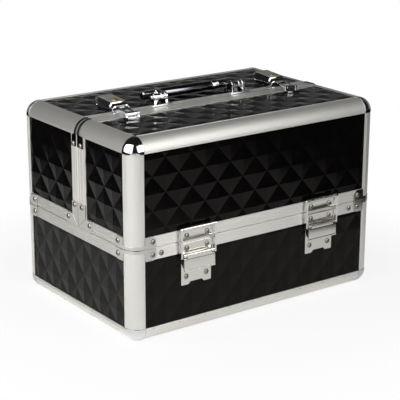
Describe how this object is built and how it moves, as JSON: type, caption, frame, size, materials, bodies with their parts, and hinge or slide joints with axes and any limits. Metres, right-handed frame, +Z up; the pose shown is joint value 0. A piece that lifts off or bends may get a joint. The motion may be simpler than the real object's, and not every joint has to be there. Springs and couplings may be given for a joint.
{
  "type": "makeup train case",
  "caption": "Two-way opening makeup train case: black embossed panels in rounded aluminium edges, lid halves and trays on parallel arms, draw latches and a folding handle.",
  "frame": {"origin": "bottom centre of the closed case, on the surface it stands on", "axes": "+X along the length to the right, front face towards -Y, +Z up"},
  "size_m": [0.3654, 0.2584, 0.2551],
  "materials": {
    "laminate": "glossy black ABS laminate embossed with diamonds",
    "extrusion": "natural satin anodised",
    "chrome": "bright plated",
    "arm_steel": "zinc plated",
    "lining": "short black velvet",
    "tray_plastic": "textured black",
    "divider_plastic": "textured black",
    "grip": "smooth black",
    "brass": "polished"
  },
  "bodies": {
    "base": {"base_front_panel": "laminate", "base_rear_panel": "laminate", "base_end_panels": "laminate", "base_floor_panel": "laminate", "base_lining": "lining", "base_corner_profiles": "extrusion", "base_bottom_profiles": "extrusion", "base_rim_strips": "extrusion", "base_corner_caps": "chrome", "base_rim_brackets": "chrome", "base_screws": "chrome", "base_arm_plates": "arm_steel", "side_latch_base_plates": "chrome"},
    "front_lid": {"front_lid_top_panel": "laminate", "front_lid_face_panel": "laminate", "front_lid_end_panels": "laminate", "front_lid_edge_profiles": "extrusion", "front_lid_strips": "extrusion", "front_lid_caps": "chrome", "front_lid_brackets": "chrome", "front_lid_screws": "chrome", "front_lid_arm_plates": "arm_steel", "front_lid_latch_plates": "chrome"},
    "front_outer_arms": {"front_outer_arms": "arm_steel"},
    "front_inner_arms": {"front_inner_arms": "arm_steel"},
    "front_lower_tray": {"front_lower_tray": "tray_plastic"},
    "front_upper_tray": {"front_upper_tray": "tray_plastic", "front_tray_dividers": "divider_plastic"},
    "rear_lid": {"rear_lid_top_panel": "laminate", "rear_lid_face_panel": "laminate", "rear_lid_end_panels": "laminate", "rear_lid_edge_profiles": "extrusion", "rear_lid_strips": "extrusion", "rear_lid_caps": "chrome", "rear_lid_brackets": "chrome", "rear_lid_screws": "chrome", "rear_lid_arm_plates": "arm_steel", "rear_lid_latch_plates": "chrome", "handle_brackets": "chrome"},
    "rear_outer_arms": {"rear_outer_arms": "arm_steel"},
    "rear_inner_arms": {"rear_inner_arms": "arm_steel"},
    "rear_lower_tray": {"rear_lower_tray": "tray_plastic"},
    "rear_upper_tray": {"rear_upper_tray": "tray_plastic", "rear_tray_dividers": "divider_plastic"},
    "front_left_lever": {"front_left_lever": "chrome"},
    "front_left_hasp": {"front_left_hasp": "chrome"},
    "front_right_lever": {"front_right_lever": "chrome"},
    "front_right_hasp": {"front_right_hasp": "chrome"},
    "rear_left_lever": {"rear_left_lever": "chrome"},
    "rear_left_hasp": {"rear_left_hasp": "chrome"},
    "rear_right_lever": {"rear_right_lever": "chrome"},
    "rear_right_hasp": {"rear_right_hasp": "chrome"},
    "left_top_lever": {"left_top_lever": "chrome"},
    "left_top_hasp": {"left_top_hasp": "chrome"},
    "left_key_cylinder": {"left_key_cylinder": "brass"},
    "right_top_lever": {"right_top_lever": "chrome"},
    "right_top_hasp": {"right_top_hasp": "chrome"},
    "right_key_cylinder": {"right_key_cylinder": "brass"},
    "handle": {"handle_bail": "chrome", "handle_grip": "grip"}
  },
  "joints": [
    {"name": "front_open", "type": "hinge", "parent": "base", "child": "front_outer_arms", "pos_m": [0, -0.098, 0.104], "axis": [1, 0, 0], "range_deg": [0, 64]},
    {"name": "front_inner_arm_swing", "type": "hinge", "parent": "base", "child": "front_inner_arms", "pos_m": [0, -0.083, 0.104], "axis": [1, 0, 0], "range_deg": [0, 64]},
    {"name": "front_lower_tray_pivot", "type": "hinge", "parent": "front_outer_arms", "child": "front_lower_tray", "pos_m": [0, -0.08076, 0.1316], "axis": [1, 0, 0], "range_deg": [-64, 0]},
    {"name": "front_upper_tray_pivot", "type": "hinge", "parent": "front_outer_arms", "child": "front_upper_tray", "pos_m": [0, -0.05578, 0.1716], "axis": [1, 0, 0], "range_deg": [-64, 0]},
    {"name": "front_lid_pivot", "type": "hinge", "parent": "front_outer_arms", "child": "front_lid", "pos_m": [0, -0.0293, 0.214], "axis": [1, 0, 0], "range_deg": [-64, 0]},
    {"name": "rear_open", "type": "hinge", "parent": "base", "child": "rear_outer_arms", "pos_m": [0, 0.098, 0.104], "axis": [-1, 0, 0], "range_deg": [0, 64]},
    {"name": "rear_inner_arm_swing", "type": "hinge", "parent": "base", "child": "rear_inner_arms", "pos_m": [0, 0.083, 0.104], "axis": [-1, 0, 0], "range_deg": [0, 64]},
    {"name": "rear_lower_tray_pivot", "type": "hinge", "parent": "rear_outer_arms", "child": "rear_lower_tray", "pos_m": [0, 0.08076, 0.1316], "axis": [-1, 0, 0], "range_deg": [-64, 0]},
    {"name": "rear_upper_tray_pivot", "type": "hinge", "parent": "rear_outer_arms", "child": "rear_upper_tray", "pos_m": [0, 0.05578, 0.1716], "axis": [-1, 0, 0], "range_deg": [-64, 0]},
    {"name": "rear_lid_pivot", "type": "hinge", "parent": "rear_outer_arms", "child": "rear_lid", "pos_m": [0, 0.0293, 0.214], "axis": [-1, 0, 0], "range_deg": [-64, 0]},
    {"name": "front_left_lever_lift", "type": "hinge", "parent": "base", "child": "front_left_lever", "pos_m": [-0.0923, -0.1254, 0.0964], "axis": [-1, 0, 0], "range_deg": [0, 100]},
    {"name": "front_left_hasp_lift", "type": "hinge", "parent": "front_lid", "child": "front_left_hasp", "pos_m": [-0.0923, -0.1249, 0.1276], "axis": [-1, 0, 0], "range_deg": [0, 150]},
    {"name": "front_right_lever_lift", "type": "hinge", "parent": "base", "child": "front_right_lever", "pos_m": [0.0923, -0.1254, 0.0964], "axis": [-1, 0, 0], "range_deg": [0, 100]},
    {"name": "front_right_hasp_lift", "type": "hinge", "parent": "front_lid", "child": "front_right_hasp", "pos_m": [0.0923, -0.1249, 0.1276], "axis": [-1, 0, 0], "range_deg": [0, 150]},
    {"name": "rear_left_lever_lift", "type": "hinge", "parent": "base", "child": "rear_left_lever", "pos_m": [-0.0923, 0.1254, 0.0964], "axis": [1, 0, 0], "range_deg": [0, 100]},
    {"name": "rear_left_hasp_lift", "type": "hinge", "parent": "rear_lid", "child": "rear_left_hasp", "pos_m": [-0.0923, 0.1249, 0.1276], "axis": [1, 0, 0], "range_deg": [0, 150]},
    {"name": "rear_right_lever_lift", "type": "hinge", "parent": "base", "child": "rear_right_lever", "pos_m": [0.0923, 0.1254, 0.0964], "axis": [1, 0, 0], "range_deg": [0, 100]},
    {"name": "rear_right_hasp_lift", "type": "hinge", "parent": "rear_lid", "child": "rear_right_hasp", "pos_m": [0.0923, 0.1249, 0.1276], "axis": [1, 0, 0], "range_deg": [0, 150]},
    {"name": "left_top_lever_lift", "type": "hinge", "parent": "rear_lid", "child": "left_top_lever", "pos_m": [-0.1185, 0.0278, 0.245], "axis": [-1, 0, 0], "range_deg": [0, 90]},
    {"name": "left_top_hasp_lift", "type": "hinge", "parent": "front_lid", "child": "left_top_hasp", "pos_m": [-0.1185, -0.0293, 0.2436], "axis": [1, 0, 0], "range_deg": [0, 150]},
    {"name": "left_key_turn", "type": "hinge", "parent": "left_top_lever", "child": "left_key_cylinder", "pos_m": [-0.1185, 0.006, 0.2542], "axis": [0, 0, 1], "range_deg": [0, 90]},
    {"name": "right_top_lever_lift", "type": "hinge", "parent": "rear_lid", "child": "right_top_lever", "pos_m": [0.1185, 0.0278, 0.245], "axis": [-1, 0, 0], "range_deg": [0, 90]},
    {"name": "right_top_hasp_lift", "type": "hinge", "parent": "front_lid", "child": "right_top_hasp", "pos_m": [0.1185, -0.0293, 0.2436], "axis": [1, 0, 0], "range_deg": [0, 150]},
    {"name": "right_key_turn", "type": "hinge", "parent": "right_top_lever", "child": "right_key_cylinder", "pos_m": [0.1185, 0.006, 0.2542], "axis": [0, 0, 1], "range_deg": [0, 90]},
    {"name": "handle_swing", "type": "hinge", "parent": "rear_lid", "child": "handle", "pos_m": [0, 0.004, 0.2495], "axis": [1, 0, 0], "range_deg": [0, 100]}
  ],
  "couplings": [
    {"joint": "front_inner_arm_swing", "follows": "front_open", "ratio": 1},
    {"joint": "front_lower_tray_pivot", "follows": "front_open", "ratio": -1},
    {"joint": "front_upper_tray_pivot", "follows": "front_open", "ratio": -1},
    {"joint": "front_lid_pivot", "follows": "front_open", "ratio": -1},
    {"joint": "rear_inner_arm_swing", "follows": "rear_open", "ratio": 1},
    {"joint": "rear_lower_tray_pivot", "follows": "rear_open", "ratio": -1},
    {"joint": "rear_upper_tray_pivot", "follows": "rear_open", "ratio": -1},
    {"joint": "rear_lid_pivot", "follows": "rear_open", "ratio": -1}
  ]
}
